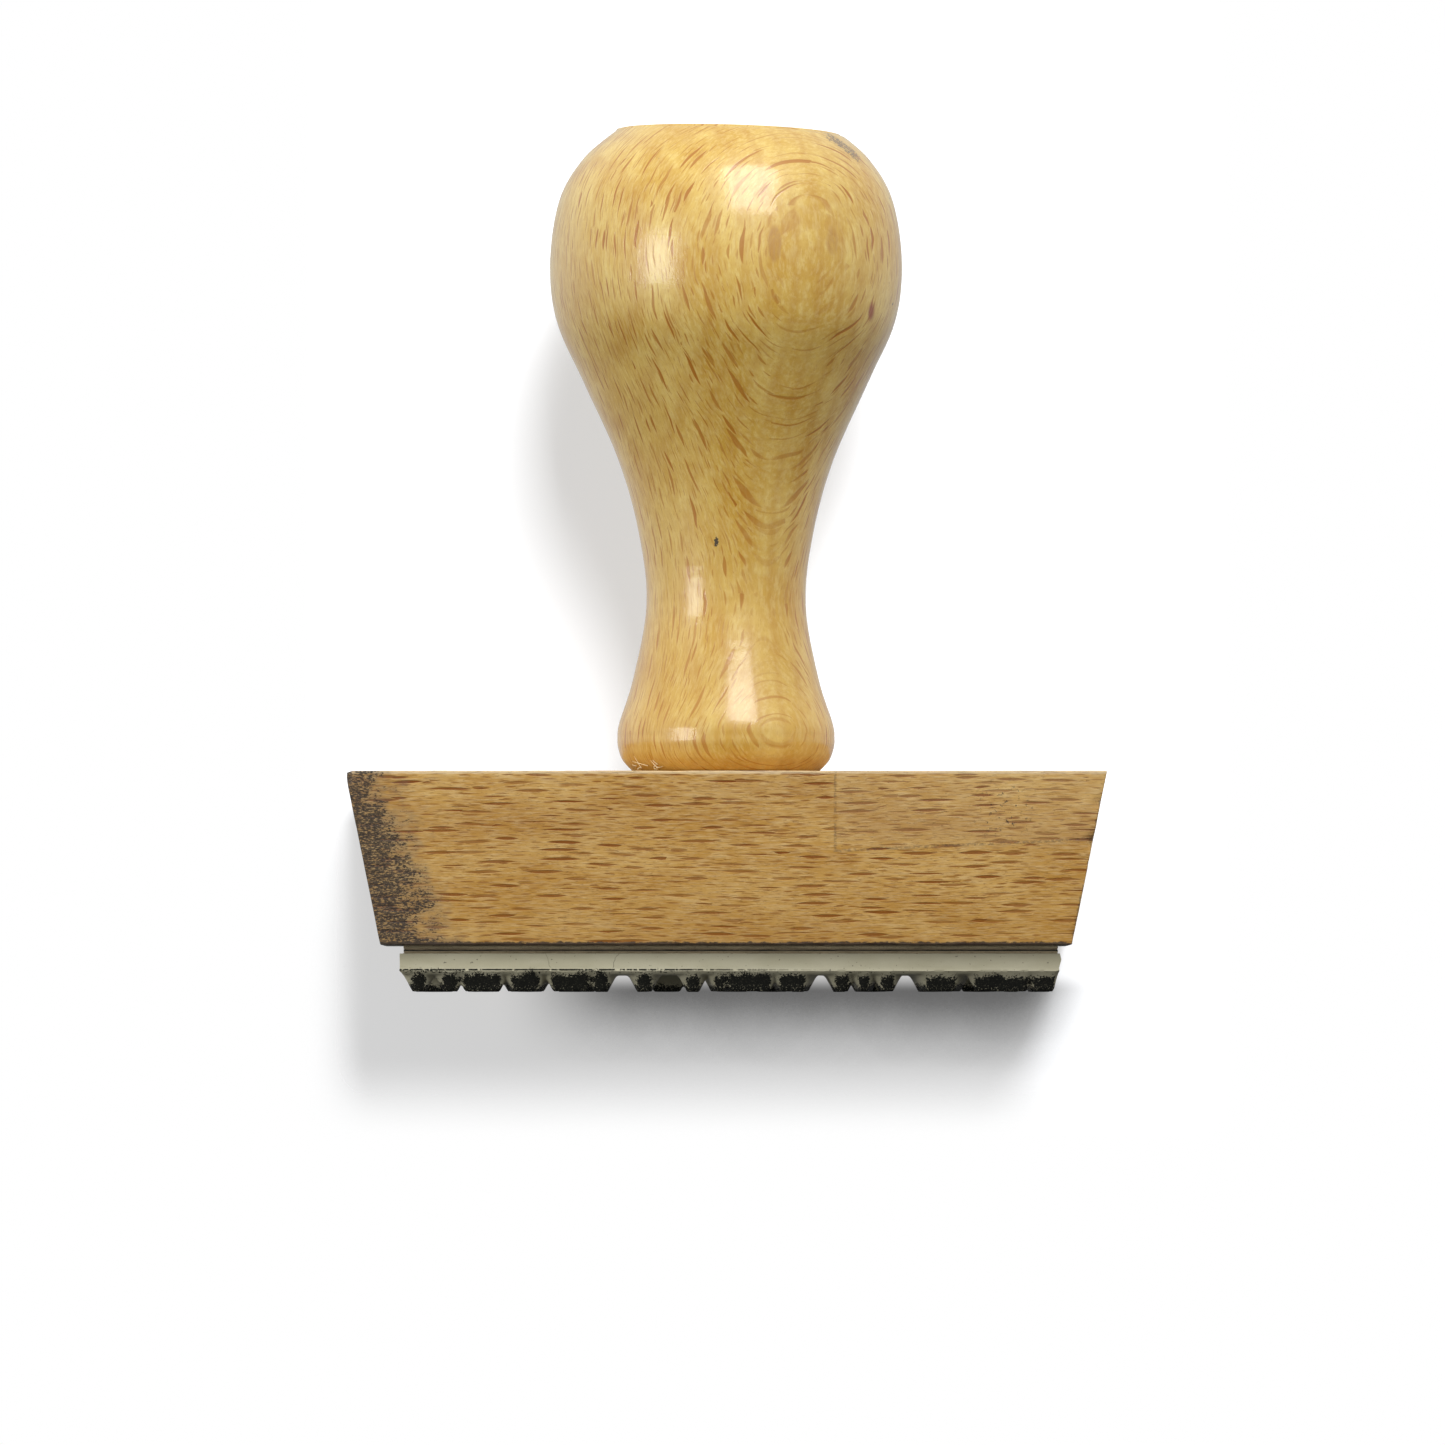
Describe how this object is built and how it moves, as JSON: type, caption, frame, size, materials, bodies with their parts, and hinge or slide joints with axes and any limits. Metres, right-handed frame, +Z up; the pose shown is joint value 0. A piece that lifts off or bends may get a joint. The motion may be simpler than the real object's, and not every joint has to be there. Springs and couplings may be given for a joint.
{
  "type": "rubber stamp",
  "caption": "Wooden hand stamp: turned knob handle on a tapered beech mount, with a cushioned moulded rubber die underneath that prints a small ornament.",
  "frame": {"origin": "middle of the printing face, under the handle's axis, at the base of the bounding box", "axes": "+Z up along the handle's axis, +X along the mount's length, front facing -Y"},
  "size_m": [0.0754, 0.0354, 0.0863],
  "materials": {
    "lacquered_beech": "clear gloss lacquer over turned beech",
    "plain_beech": "sanded, unvarnished, stained with black ink at one end",
    "wood_glue": "dried wood glue",
    "zinc_plated_steel": "zinc plated",
    "adhesive_film": "tacky film darkened by ink",
    "cushion_rubber": "matte, grey-olive",
    "die_rubber": "matte cream, inked black on the relief"
  },
  "bodies": {
    "root": {"handle": "lacquered_beech", "handle_glue": "wood_glue", "handle_screw": "zinc_plated_steel", "mount_block": "plain_beech", "mount_adhesive": "adhesive_film", "cushion_upper_ply": "cushion_rubber", "ply_adhesive": "adhesive_film", "cushion_lower_ply": "cushion_rubber", "die_adhesive": "adhesive_film", "rubber_die": "die_rubber"}
  },
  "joints": []
}
